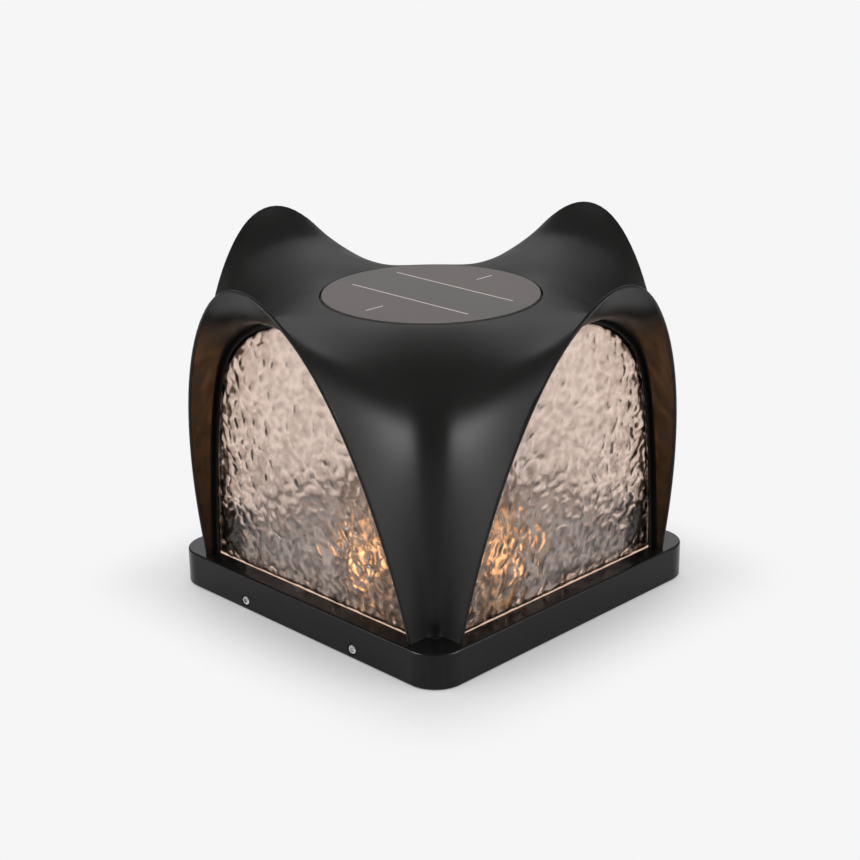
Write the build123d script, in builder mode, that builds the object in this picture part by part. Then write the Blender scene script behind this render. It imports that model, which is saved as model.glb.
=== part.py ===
"""Solar post cap light: a square collar that sits on a post, four rippled panes and a four-legged canopy.

The origin is the middle of the collar's lower edge, with Z up and the panes facing X and Y.
All sizes are in millimetres.
"""
import os
from math import cos, hypot, pi, sin

from build123d import *

os.makedirs("parts", exist_ok=True)

# Post and collar
post_size = 152.4
post_clearance = 1.0
skirt_wall = 5.3
collar_height = 15.8
collar_corner = 13.9
socket_corner = 2.0
floor_thickness = 3.5
collar_top_round = 0.9
collar_foot_bevel = 0.4

# Set screws that clamp the post
set_screw_diameter = 4.0
set_screw_length = 6.0
set_screw_spacing = 68.0
set_screw_height = 4.05
set_screw_proud = 0.2
set_screw_clearance = 0.2
set_screw_mouth = 0.6
set_screw_key = 2.0
set_screw_key_depth = 2.0
set_screw_bevel = 0.4

# Canopy: every meridian mixes an ear, which rises to a lip, with a leg, which falls away
canopy_wall = 1.6
deck_rise = 116.1
ear_rise = 22.6
ear_overhang = 22.0
ear_root_reach = 34.1
ear_root_rise = 8.0
ear_lip_reach = 12.1
ear_lip_rise = 24.45
leg_tuck = 9.85
leg_tuck_power = 4.0
leg_slope_fall = 61.45
leg_slope_power = 1.4
leg_plunge = 104.9
leg_plunge_power = 7.5
lip_flare = 6.88
lip_flare_power = 7.0
leg_narrowing = 0.233
leg_softening = 0.09
deck_mix = 0.858
rim_mix = 0.258
canopy_columns = 14
canopy_rows = 14
surface_tolerance = 0.01

# Canopy fixing
boss_diameter = 9.0
boss_height = 18.0
boss_sink = 1.5
canopy_screw_diameter = 3.0
canopy_screw_length = 13.0
canopy_screw_head = 5.6
canopy_screw_sink = 1.7
thread_clearance = 0.1
hole_clearance = 0.2

# Solar disc and its well in the canopy
disc_diameter = 94.0
disc_thickness = 2.0
disc_gap = 1.0
disc_proud = 0.4
seal_thickness = 0.7
ledge_width = 5.0
ledge_thickness = 2.2
well_wall = 2.0
well_depth = 9.9
well_overlap = 1.3
tray_thickness = 2.0
tray_screw_count = 4
tray_boss_diameter = 6.0
ribbon_width = 0.7
ribbon_depth = 0.2
ribbon_offset = 13.6
ribbon_length = 70.0
tick_inner = 28.5
tick_length = 9.8

# Panes and their edge gaskets
pane_ledge = 8.9
pane_thickness = 4.0
pane_groove_depth = 1.0
pane_groove_clearance = 0.2
gasket_gap = 0.2
gasket_wall = 1.0
gasket_lip = 1.0
gasket_grip = 1.0
gasket_slot_clearance = 0.1
arch_steps = 8

# Lamp on the floor: battery tube, light board and frosted drum
cell_diameter = 14.5
cell_length = 25.0
cell_round = 0.9
cell_clearance = 1.3
tube_wall = 1.8
tube_roof = 1.5
tube_headroom = 0.4
tube_flange = 18.0
tube_flange_thickness = 2.0
tube_screw_web = 0.8
contact_thickness = 0.5
spring_tip = 5.0
spring_base = 9.0
cap_contact_diameter = 10.2
cap_diameter = 26.0
cap_thickness = 2.8
cap_clearance = 0.3
cap_sunk = 0.1
cap_spigot_height = 1.6
cap_spigot_clearance = 0.4
cap_slot_width = 1.8
cap_slot_length = 19.5
cap_slot_depth = 1.2
cap_seal_thickness = 0.5
board_diameter = 66.0
board_thickness = 1.6
board_bore_clearance = 0.6
spacer_diameter = 6.0
spacer_height = 5.1
small_screw_diameter = 2.4
small_screw_head = 4.6
small_screw_head_height = 1.6
small_screw_bite = 2.3
board_screw_inset = 6.0
board_screw_circle = board_diameter / 2 - board_screw_inset
board_screw_count = 3
led_count = 8
led_inset = 11.0
led_circle = board_diameter / 2 - led_inset
led_length = 3.5
led_width = 2.8
led_height = 1.9
drum_wall = 1.6
drum_clearance = 2.4
drum_diameter = board_diameter + 2 * (drum_clearance + drum_wall)
drum_height = 34.2
drum_round = 7.0
drum_flange_width = 6.4
drum_flange_thickness = 2.0
drum_screw_count = 3

# Power button under the floor
button_diameter = 6.6
button_clearance = 0.3
button_recess = 0.6
button_flange = 10.0
button_flange_thickness = 0.8
button_float = 0.1
button_travel = 0.7
button_circle = 22.0
switch_size = 6.0
plunger_diameter = 3.2
plunger_height = 0.4
plunger_gap = 0.1

# Lead from the solar disc down the rear leg to the light board
lead_diameter = 2.5
lead_clearance = 0.35
lead_leg_offset = 15.0
lead_drop = 12.0
lead_bend = 12.0
gland_circle = 36.0
gland_diameter = 6.0
gland_height = 2.5
gland_round = 0.75
connector_size = 6.0
connector_inset = 6.0
connector_circle = board_diameter / 2 - connector_inset

# Places that follow from the sizes above
base_half = post_size / 2 + post_clearance + skirt_wall
socket_half = base_half - skirt_wall
floor_under = collar_height - floor_thickness
deck_height = collar_height + deck_rise
disc_radius = disc_diameter / 2
deck_radius = disc_radius + disc_gap
ear_radius = base_half + ear_overhang
ear_height = deck_height + ear_rise
pane_face = base_half - pane_ledge
diagonals = [pi / 4 + k * pi / 2 for k in range(4)]
sides = {"front": -pi / 2, "right": 0.0, "rear": pi / 2, "left": pi}
rear_corner = 3 * pi / 4


def polar(radius, angle, height=0.0):
    """A point at a distance from the axis."""
    return Vector(radius * cos(angle), radius * sin(angle), height)


def bezier(controls, t):
    """A point on a cubic through its first and last control points, as (radius, height)."""
    weights = ((1 - t) ** 3, 3 * t * (1 - t) ** 2, 3 * t * t * (1 - t), t ** 3)
    return [sum(w * c[axis] for w, c in zip(weights, controls)) for axis in (0, 1)]


ear_profile = [
    (deck_radius, deck_height),
    (deck_radius + ear_root_reach, deck_height + ear_root_rise),
    (ear_radius - ear_lip_reach, ear_height - ear_lip_rise),
    (ear_radius, ear_height),
]


def canopy_face(turn, t):
    """A point on the canopy's outer face.

    turn is 0 in the middle of an ear and 45 degrees down a leg; t runs from the deck to the rim.
    """
    t = max(t, 0.0)
    ridge = sin(2 * turn) ** 2
    share = ridge * (1 + (rim_mix + (deck_mix - rim_mix) * (1 - t)) * (1 - ridge))
    radius, ear = bezier(ear_profile, t)
    leg = deck_height - leg_slope_fall * t ** leg_slope_power - leg_plunge * t ** leg_plunge_power
    tuck = share * leg_tuck * t ** leg_tuck_power
    flare = 4 * share * (1 - share) * lip_flare * t ** lip_flare_power
    narrowing = leg_narrowing * t * (2 - t)
    angle = turn + narrowing * (sin(4 * turn) + leg_softening * sin(8 * turn))
    return polar(radius - tuck + flare, angle, (1 - share) * ear + share * leg)


def canopy_point(turn, t, depth=0.0):
    """A point inside the canopy's wall, at a depth square to its outer face."""
    step = 1e-4
    across = canopy_face(turn + step, t) - canopy_face(turn - step, t)
    along = canopy_face(turn, t + step) - canopy_face(turn, t - step)
    return canopy_face(turn, t) + across.cross(along).normalized() * depth


def canopy_skin(depth):
    """One face of the canopy's wall, from the middle of an ear to the middle of a leg."""
    turns = [pi / 4 * k / canopy_columns for k in range(canopy_columns + 1)]
    stops = [k / canopy_rows for k in range(canopy_rows + 1)]
    grid = [[canopy_point(turn, t, depth) for t in stops] for turn in turns]
    return Face.make_surface_from_array_of_points(grid, tol=surface_tolerance, min_deg=3, max_deg=3)


def arch_points(reach, depth, foot):
    """Half of the arch that a pane's plane cuts under the canopy, from its crown to its foot."""
    turn, t = 0.0, 0.5
    step = 1e-5
    points = []

    def miss(turn, t, slope):
        point = canopy_point(turn, t, depth)
        return point.X - reach, (point.Z - foot) * cos(slope) - point.Y * sin(slope)

    for k in range(arch_steps + 1):
        slope = pi / 2 * (1 - k / arch_steps)
        for _ in range(25):
            gap = miss(turn, t, slope)
            by_turn = [(b - a) / step for a, b in zip(gap, miss(turn + step, t, slope))]
            by_t = [(b - a) / step for a, b in zip(gap, miss(turn, t + step, slope))]
            scale = by_turn[0] * by_t[1] - by_turn[1] * by_t[0]
            turn -= (gap[0] * by_t[1] - gap[1] * by_t[0]) / scale
            t -= (by_turn[0] * gap[1] - by_turn[1] * gap[0]) / scale
        point = canopy_point(turn, t, depth)
        points.append((point.Y, point.Z))
    return points


def leg_foot(depth):
    """How far from the axis a leg's wall, at a depth, comes down on the collar."""
    low, high = 0.0, 1.0
    for _ in range(40):
        middle = (low + high) / 2
        if canopy_point(pi / 4, middle, depth).Z > collar_height:
            low = middle
        else:
            high = middle
    foot = canopy_point(pi / 4, low, depth)
    return hypot(foot.X, foot.Y)


def side_plane(angle, reach):
    """An upright plane that faces outward at a distance from the axis."""
    return Plane(origin=polar(reach, angle), x_dir=polar(1, angle + pi / 2), z_dir=polar(1, angle))


def arch_outline(points):
    """An arch with a straight foot, as a flat sketch."""
    left = [(-across, height) for across, height in reversed(points)]
    with BuildSketch() as outline:
        with BuildLine():
            Spline(*left, *points[1:])
            Line(points[-1], left[0])
        make_face()
    return outline.sketch


def write(part, name):
    """Labels a finished piece and writes it under its own name."""
    part.label = name
    export_step(part, f"parts/{name}.step")


# Collar: skirt round the post, floor above it, grooves for the panes and holes for the lamp
boss_radius = leg_foot(canopy_wall) - boss_diameter / 2 + boss_sink
boss_places = [polar(boss_radius, angle) for angle in diagonals]
set_screw_half = set_screw_spacing / 2
cap_radius = cap_diameter / 2
button_place = polar(button_circle, -pi / 2)
board_screw_places = [
    polar(board_screw_circle, pi / 2 + k * 2 * pi / board_screw_count) for k in range(board_screw_count)
]
drum_radius = drum_diameter / 2
drum_flange_radius = drum_radius + drum_flange_width
drum_screw_circle = drum_radius + drum_flange_width / 2
drum_screw_places = [
    polar(drum_screw_circle, k * 2 * pi / drum_screw_count) for k in range(drum_screw_count)
]
tube_radius = cell_diameter / 2 + cell_clearance + tube_wall
small_hole_radius = small_screw_diameter / 2 + thread_clearance
tube_screw_circle = cap_radius + cap_clearance + tube_screw_web + small_hole_radius
tube_screw_places = [polar(tube_screw_circle, angle) for angle in (0.0, pi)]

with BuildPart() as base_collar:
    with BuildSketch():
        RectangleRounded(2 * base_half, 2 * base_half, collar_corner)
    extrude(amount=collar_height)
    fillet(base_collar.faces().sort_by(Axis.Z)[-1].edges(), collar_top_round)
    with BuildSketch():
        RectangleRounded(2 * socket_half, 2 * socket_half, socket_corner)
    extrude(amount=floor_under, mode=Mode.SUBTRACT)
    chamfer(base_collar.faces().sort_by(Axis.Z)[0].outer_wire().edges(), collar_foot_bevel)
    groove_middle = pane_face - pane_thickness / 2
    groove_width = pane_thickness + 2 * pane_groove_clearance
    groove_half = arch_points(pane_face, canopy_wall, collar_height)[-1][0]
    for angle in sides.values():
        with BuildSketch(Plane(origin=polar(groove_middle, angle, collar_height), x_dir=polar(1, angle))):
            Rectangle(groove_width, 2 * groove_half)
        extrude(amount=-pane_groove_depth, mode=Mode.SUBTRACT)
    with BuildSketch(Plane.XY.offset(floor_under)):
        Circle(cap_radius + cap_clearance)
        with Locations(button_place):
            Circle(button_diameter / 2 + button_clearance)
        with Locations(*boss_places):
            Circle(canopy_screw_diameter / 2 + hole_clearance)
    extrude(amount=floor_thickness, mode=Mode.SUBTRACT)
    with BuildSketch(Plane.XY.offset(collar_height)):
        with Locations(*board_screw_places, *drum_screw_places, *tube_screw_places):
            Circle(small_hole_radius)
    extrude(amount=-small_screw_bite - thread_clearance, mode=Mode.SUBTRACT)
    for place in boss_places:
        with BuildSketch(Plane.XY.offset(floor_under)):
            with Locations(place):
                Circle(canopy_screw_head / 2 + hole_clearance)
        with BuildSketch(Plane.XY.offset(floor_under + canopy_screw_sink)):
            with Locations(place):
                Circle(canopy_screw_diameter / 2 + hole_clearance)
        loft(mode=Mode.SUBTRACT)
    for angle in (sides["front"], sides["rear"]):
        face = side_plane(angle, base_half)
        with BuildSketch(face):
            with Locations((-set_screw_half, set_screw_height), (set_screw_half, set_screw_height)):
                Circle(set_screw_diameter / 2 + set_screw_clearance)
        extrude(amount=-skirt_wall, mode=Mode.SUBTRACT)
        with BuildSketch(face):
            with Locations((-set_screw_half, set_screw_height), (set_screw_half, set_screw_height)):
                Circle(set_screw_diameter / 2 + set_screw_clearance + set_screw_mouth)
        extrude(amount=-set_screw_mouth, taper=45, mode=Mode.SUBTRACT)
write(base_collar.part, "base_collar")

# Set screws: headless, with a hexagon socket, one body each
set_screw_corners = {
    "set_screw_front_left": ("front", -set_screw_half),
    "set_screw_front_right": ("front", set_screw_half),
    "set_screw_rear_left": ("rear", -set_screw_half),
    "set_screw_rear_right": ("rear", set_screw_half),
}
for name, (side, across) in set_screw_corners.items():
    with BuildPart() as set_screw:
        end = side_plane(sides[side], base_half + set_screw_proud)
        with BuildSketch(end):
            with Locations((across, set_screw_height)):
                Circle(set_screw_diameter / 2)
        extrude(amount=-set_screw_length)
        chamfer(set_screw.edges().filter_by(GeomType.CIRCLE), set_screw_bevel)
        with BuildSketch(end):
            with Locations((across, set_screw_height)):
                RegularPolygon(set_screw_key / 2, 6, major_radius=False)
        extrude(amount=-set_screw_key_depth, mode=Mode.SUBTRACT)
    write(set_screw.part, name)

# Canopy: one quarter from ear to ear, turned round the axis, with the well for the solar disc
well_floor = deck_height - well_depth
ledge_top = deck_height + disc_proud - disc_thickness - seal_thickness
well_outer = deck_radius + well_wall
ledge_inner = deck_radius - ledge_width
well_inner = deck_radius - well_overlap
tray_screw_circle = (ledge_inner + well_outer) / 2
tray_screw_places = [
    polar(tray_screw_circle, k * 2 * pi / tray_screw_count) for k in range(tray_screw_count)
]
outer_skin = canopy_skin(0.0)
inner_skin = canopy_skin(canopy_wall)
outer_edges = outer_skin.edges().sort_by(SortBy.LENGTH)
inner_edges = inner_skin.edges().sort_by(SortBy.LENGTH)
deck_edge = Face.make_surface_from_curves(outer_edges[0], inner_edges[0])
rim_edge = Face.make_surface_from_curves(outer_edges[-1], inner_edges[-1])
eighth = [outer_skin, inner_skin, deck_edge, rim_edge]
quarter = eighth + [face.mirror(Plane((0, 0, 0), z_dir=(1, -1, 0))) for face in eighth]
canopy_skins = [face.rotate(Axis.Z, 90 * k) for k in range(4) for face in quarter]

with BuildPart() as canopy_shell:
    add(Solid(Shell(canopy_skins)))
    split(bisect_by=Plane.XY.offset(collar_height), keep=Keep.TOP)
    with BuildSketch(Plane.XZ):
        with BuildLine():
            Polyline(
                (well_inner, well_floor),
                (well_outer, well_floor),
                (well_outer, deck_height - well_overlap),
                (deck_radius, deck_height - well_overlap),
                (deck_radius, ledge_top),
                (ledge_inner, ledge_top),
                (ledge_inner, ledge_top - ledge_thickness),
                (well_inner, ledge_top - ledge_thickness),
                close=True,
            )
        make_face()
    revolve(axis=Axis.Z)
    with BuildSketch(Plane.XY.offset(well_floor)):
        with Locations(*tray_screw_places):
            Circle(tray_boss_diameter / 2)
    extrude(amount=ledge_top - ledge_thickness - well_floor)
    with BuildSketch(Plane.XY.offset(collar_height)):
        with Locations(*boss_places):
            Circle(boss_diameter / 2)
    extrude(amount=boss_height)
    with BuildSketch(Plane.XY.offset(collar_height)):
        with Locations(*boss_places):
            Circle(canopy_screw_diameter / 2 + thread_clearance)
    extrude(amount=canopy_screw_length, mode=Mode.SUBTRACT)
    with BuildSketch(Plane.XY.offset(well_floor)):
        with Locations(*tray_screw_places):
            Circle(small_hole_radius)
    extrude(amount=small_screw_bite + thread_clearance, mode=Mode.SUBTRACT)
write(canopy_shell.part, "canopy_shell")

# Canopy screws, sunk into the floor from below
with BuildPart() as canopy_screws:
    for place in boss_places:
        with BuildSketch(Plane.XY.offset(floor_under)):
            with Locations(place):
                Circle(canopy_screw_head / 2)
        with BuildSketch(Plane.XY.offset(floor_under + canopy_screw_sink)):
            with Locations(place):
                Circle(canopy_screw_diameter / 2)
        loft()
        with BuildSketch(Plane.XY.offset(floor_under + canopy_screw_sink)):
            with Locations(place):
                Circle(canopy_screw_diameter / 2)
        extrude(amount=canopy_screw_length)
write(canopy_screws.part, "canopy_screws")

# Panes in their grooves, and the channel gaskets round their arched edges
pane_foot = collar_height - pane_groove_depth
gasket_outer_face = pane_face + gasket_lip
gasket_inner_face = pane_face - pane_thickness - gasket_lip
gasket_depth = canopy_wall + gasket_gap
pane_depth = gasket_depth + gasket_wall
grip_depth = pane_depth + gasket_grip
pane_middle = pane_face - pane_thickness / 2
pane_arch = arch_points(pane_middle, pane_depth, pane_foot)
slot_arch = arch_points(pane_middle, pane_depth - gasket_slot_clearance, pane_foot)
grip_arch = arch_points(pane_middle, grip_depth, collar_height)
outer_arch = arch_points(gasket_outer_face, gasket_depth, collar_height)
inner_arch = arch_points(gasket_inner_face, gasket_depth, collar_height)

for side, angle in sides.items():
    with BuildPart() as pane:
        with BuildSketch(side_plane(angle, pane_face)):
            add(arch_outline(pane_arch))
        extrude(amount=-pane_thickness)
    write(pane.part, f"glass_{side}")

for side, angle in sides.items():
    with BuildPart() as gasket:
        with BuildSketch(side_plane(angle, gasket_inner_face)):
            add(arch_outline(inner_arch))
        with BuildSketch(side_plane(angle, gasket_outer_face)):
            add(arch_outline(outer_arch))
        loft()
        with BuildSketch(side_plane(angle, gasket_outer_face)):
            add(arch_outline(grip_arch))
        extrude(amount=gasket_inner_face - gasket_outer_face, mode=Mode.SUBTRACT)
        with BuildSketch(side_plane(angle, pane_face + gasket_slot_clearance)):
            add(arch_outline(slot_arch))
        extrude(amount=-pane_thickness - 2 * gasket_slot_clearance, mode=Mode.SUBTRACT)
    write(gasket.part, f"gasket_{side}")

# Solar disc with its inlaid ribbons, the seal under it and the tray that closes the well
disc_top = deck_height + disc_proud


def ribbon_sketch():
    """Two long ribbons and two short ticks, as a flat sketch."""
    tick_middle = tick_inner + tick_length / 2
    with BuildSketch() as ribbons:
        with Locations((0, ribbon_offset), (0, -ribbon_offset)):
            Rectangle(ribbon_length, ribbon_width)
        with Locations((0, tick_middle), (0, -tick_middle)):
            Rectangle(ribbon_width, tick_length)
    return ribbons.sketch


with BuildPart() as solar_disc:
    with BuildSketch(Plane.XY.offset(disc_top)):
        Circle(disc_radius)
    extrude(amount=-disc_thickness)
    with BuildSketch(Plane.XY.offset(disc_top)):
        add(ribbon_sketch())
    extrude(amount=-ribbon_depth, mode=Mode.SUBTRACT)
write(solar_disc.part, "solar_disc")

with BuildPart() as cell_ribbons:
    with BuildSketch(Plane.XY.offset(disc_top)):
        add(ribbon_sketch())
    extrude(amount=-ribbon_depth)
write(cell_ribbons.part, "cell_ribbons")

with BuildPart() as solar_seal:
    with BuildSketch(Plane.XY.offset(ledge_top)):
        Circle(disc_radius)
        Circle(ledge_inner, mode=Mode.SUBTRACT)
    extrude(amount=seal_thickness)
write(solar_seal.part, "solar_seal")

tray_under = well_floor - tray_thickness
gland_place = polar(gland_circle, rear_corner)
with BuildPart() as solar_tray:
    with BuildSketch(Plane.XY.offset(tray_under)):
        Circle(well_outer)
    extrude(amount=tray_thickness)
    with BuildSketch(Plane.XY.offset(tray_under)):
        with Locations(gland_place):
            Circle(gland_diameter / 2)
    extrude(amount=-gland_height)
    fillet(solar_tray.faces().sort_by(Axis.Z)[0].edges(), gland_round)
    with BuildSketch(Plane.XY.offset(tray_under)):
        with Locations(*tray_screw_places):
            Circle(small_screw_diameter / 2 + hole_clearance)
    extrude(amount=tray_thickness, mode=Mode.SUBTRACT)
write(solar_tray.part, "solar_tray")


def pan_screw(length):
    """A pan-head screw whose head stands on the origin's plane."""
    with BuildPart() as screw:
        with BuildSketch():
            Circle(small_screw_head / 2)
        extrude(amount=small_screw_head_height)
        with BuildSketch():
            Circle(small_screw_diameter / 2)
        extrude(amount=-length)
    return screw.part


with BuildPart() as tray_screws:
    with Locations(*[Location((place.X, place.Y, tray_under), (180, 0, 0)) for place in tray_screw_places]):
        add(pan_screw(tray_thickness + small_screw_bite))
write(tray_screws.part, "tray_screws")

# Battery tube on the floor, the cell in it and the turning cap below
tube_bore = cell_diameter / 2 + cell_clearance
cap_bottom = floor_under + cap_sunk
cap_top = cap_bottom + cap_thickness
spigot_radius = tube_bore - cap_spigot_clearance
spigot_top = cap_top + cap_spigot_height
cell_bottom = spigot_top + contact_thickness
cell_top = cell_bottom + cell_length
tube_top = collar_height + drum_height - drum_wall - tube_headroom
tube_ceiling = tube_top - tube_roof

with BuildPart() as battery_tube:
    with BuildSketch(Plane.XZ):
        with BuildLine():
            Polyline(
                (0, tube_ceiling),
                (tube_bore, tube_ceiling),
                (tube_bore, collar_height),
                (tube_flange, collar_height),
                (tube_flange, collar_height + tube_flange_thickness),
                (tube_radius, collar_height + tube_flange_thickness),
                (tube_radius, tube_top),
                (0, tube_top),
                close=True,
            )
        make_face()
    revolve(axis=Axis.Z)
    with BuildSketch(Plane.XY.offset(collar_height)):
        with Locations(*tube_screw_places):
            Circle(small_screw_diameter / 2 + hole_clearance)
        with Locations(button_place):
            Circle(button_flange / 2 + button_clearance)
    extrude(amount=tube_flange_thickness, mode=Mode.SUBTRACT)
write(battery_tube.part, "battery_tube")

with BuildPart() as tube_screws:
    seat = Vector(0, 0, collar_height + tube_flange_thickness)
    with Locations(*[place + seat for place in tube_screw_places]):
        add(pan_screw(tube_flange_thickness + small_screw_bite))
write(tube_screws.part, "tube_screws")

with BuildPart() as battery:
    with BuildSketch(Plane.XY.offset(cell_bottom)):
        Circle(cell_diameter / 2)
    extrude(amount=cell_length)
    fillet(battery.edges().filter_by(GeomType.CIRCLE), cell_round)
write(battery.part, "battery")

with BuildPart() as top_contact:
    with BuildSketch(Plane.XZ):
        with BuildLine():
            Polyline(
                (spring_tip / 2, cell_top),
                (spring_base / 2, tube_ceiling),
                (spring_base / 2 - contact_thickness, tube_ceiling),
                (spring_tip / 2 - contact_thickness, cell_top),
                close=True,
            )
        make_face()
    revolve(axis=Axis.Z)
write(top_contact.part, "top_contact")

with BuildPart() as battery_cap:
    with BuildSketch(Plane.XY.offset(cap_bottom)):
        Circle(cap_radius)
    extrude(amount=cap_thickness)
    with BuildSketch(Plane.XY.offset(cap_top)):
        Circle(spigot_radius)
    extrude(amount=cap_spigot_height)
    with BuildSketch(Plane.XY.offset(cap_bottom)):
        SlotOverall(cap_slot_length, cap_slot_width)
    extrude(amount=cap_slot_depth, mode=Mode.SUBTRACT)
write(battery_cap.part, "battery_cap")

with BuildPart() as cap_contact:
    with BuildSketch(Plane.XY.offset(spigot_top)):
        Circle(cap_contact_diameter / 2)
    extrude(amount=contact_thickness)
write(cap_contact.part, "cap_contact")

with BuildPart() as cap_seal:
    with BuildSketch(Plane.XY.offset(cap_top)):
        Circle(cap_radius - cap_clearance)
        Circle(spigot_radius + cap_clearance, mode=Mode.SUBTRACT)
    extrude(amount=cap_seal_thickness)
write(cap_seal.part, "cap_seal")

# Light board on three spacers, with its light-emitting diodes and the switch under it
board_under = collar_height + spacer_height
board_top = board_under + board_thickness

with BuildPart() as board_spacers:
    with BuildSketch(Plane.XY.offset(collar_height)):
        with Locations(*board_screw_places):
            Circle(spacer_diameter / 2)
            Circle(small_screw_diameter / 2 + hole_clearance, mode=Mode.SUBTRACT)
    extrude(amount=spacer_height)
write(board_spacers.part, "board_spacers")

with BuildPart() as light_board:
    with BuildSketch(Plane.XY.offset(board_under)):
        Circle(board_diameter / 2)
        Circle(tube_radius + board_bore_clearance, mode=Mode.SUBTRACT)
        with Locations(*board_screw_places):
            Circle(small_screw_diameter / 2 + hole_clearance, mode=Mode.SUBTRACT)
    extrude(amount=board_thickness)
write(light_board.part, "light_board")

with BuildPart() as board_screws:
    with Locations(*[place + Vector(0, 0, board_top) for place in board_screw_places]):
        add(pan_screw(board_thickness + spacer_height + small_screw_bite))
write(board_screws.part, "board_screws")

with BuildPart() as led_chips:
    with BuildSketch(Plane.XY.offset(board_top)):
        with PolarLocations(led_circle, led_count):
            Rectangle(led_width, led_length)
    extrude(amount=led_height)
write(led_chips.part, "led_chips")

stem_bottom = floor_under + button_recess
flange_bottom = collar_height + button_float
flange_top = flange_bottom + button_flange_thickness
plunger_bottom = flange_top + button_travel + plunger_gap

with BuildPart() as power_button:
    with BuildSketch(Plane.XY.offset(stem_bottom)):
        with Locations(button_place):
            Circle(button_diameter / 2)
    extrude(amount=flange_bottom - stem_bottom)
    fillet(power_button.faces().sort_by(Axis.Z)[0].edges(), button_recess)
    with BuildSketch(Plane.XY.offset(flange_bottom)):
        with Locations(button_place):
            Circle(button_flange / 2)
    extrude(amount=button_flange_thickness)
write(power_button.part, "power_button")

with BuildPart() as power_switch:
    with BuildSketch(Plane.XY.offset(plunger_bottom)):
        with Locations(button_place):
            Circle(plunger_diameter / 2)
    extrude(amount=plunger_height)
    with BuildSketch(Plane.XY.offset(plunger_bottom + plunger_height)):
        with Locations(button_place):
            Rectangle(switch_size, switch_size)
    extrude(amount=board_under - plunger_bottom - plunger_height)
write(power_switch.part, "power_switch")

# Frosted drum over the board, screwed to the floor through its flange
lead_radius = lead_diameter / 2
lead_height = collar_height + lead_clearance + lead_radius
with BuildPart() as light_drum:
    with BuildSketch(Plane.XZ):
        with BuildLine():
            Polyline(
                (0, collar_height + drum_height),
                (drum_radius, collar_height + drum_height),
                (drum_radius, collar_height + drum_flange_thickness),
                (drum_flange_radius, collar_height + drum_flange_thickness),
                (drum_flange_radius, collar_height),
                (drum_radius - drum_wall, collar_height),
                (drum_radius - drum_wall, collar_height + drum_height - drum_wall),
                (0, collar_height + drum_height - drum_wall),
                close=True,
            )
        make_face()
    revolve(axis=Axis.Z)
    rims = light_drum.edges().filter_by(GeomType.CIRCLE).sort_by(Axis.Z)
    fillet(rims[-1], drum_round)
    fillet(light_drum.faces().sort_by(Axis.Z)[-2].edges(), drum_round - drum_wall)
    with BuildSketch(Plane.XY.offset(collar_height)):
        with Locations(*drum_screw_places):
            Circle(small_screw_diameter / 2 + hole_clearance)
    extrude(amount=drum_flange_thickness, mode=Mode.SUBTRACT)
    slot_size = lead_diameter + 2 * lead_clearance
    slot_length = drum_wall + drum_flange_width + slot_size
    slot_middle = polar(drum_flange_radius + slot_size / 2 - slot_length / 2, rear_corner, collar_height)
    with BuildSketch(Plane(origin=slot_middle, x_dir=polar(1, rear_corner))):
        Rectangle(slot_length, slot_size)
    extrude(amount=slot_size, mode=Mode.SUBTRACT)
write(light_drum.part, "light_drum")

with BuildPart() as drum_screws:
    seat = Vector(0, 0, collar_height + drum_flange_thickness)
    with Locations(*[place + seat for place in drum_screw_places]):
        add(pan_screw(drum_flange_thickness + small_screw_bite))
write(drum_screws.part, "drum_screws")

# Lead from the tray's gland, down inside the rear leg and over the floor to the board's connector
lead_leg_radius = boss_radius - boss_diameter / 2 - lead_radius - lead_clearance
connector_face = connector_circle + connector_size / 2
lead_start = tray_under - gland_height
with BuildPart() as board_connector:
    connector_plane = Plane(
        origin=polar(connector_circle, rear_corner, board_under), x_dir=polar(1, rear_corner)
    )
    with BuildSketch(connector_plane):
        Rectangle(connector_size, connector_size)
    extrude(amount=lead_height - lead_radius - board_under)
write(board_connector.part, "board_connector")

with BuildPart() as solar_lead:
    with BuildLine() as route:
        FilletPolyline(
            polar(gland_circle, rear_corner, lead_start),
            polar(gland_circle, rear_corner, lead_start - lead_drop),
            polar(lead_leg_radius, rear_corner, lead_start - lead_drop - lead_leg_offset),
            polar(lead_leg_radius, rear_corner, lead_height),
            polar(connector_face, rear_corner, lead_height),
            radius=lead_bend,
        )
    with BuildSketch(Plane(origin=route.line @ 0, z_dir=route.line % 0)):
        Circle(lead_radius)
    sweep()
write(solar_lead.part, "solar_lead")
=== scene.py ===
"""Dresses the solar post cap light: coated canopy, rippled panes, gaskets, finishes and a plain studio."""
from math import cos, hypot, pi, radians, sin

import bmesh
import bpy
import numpy as np
from bpy.props import FloatProperty, FloatVectorProperty, IntProperty, PointerProperty
from bpy.types import Operator, Panel, PropertyGroup
from mathutils import Matrix, Vector, noise


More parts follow.
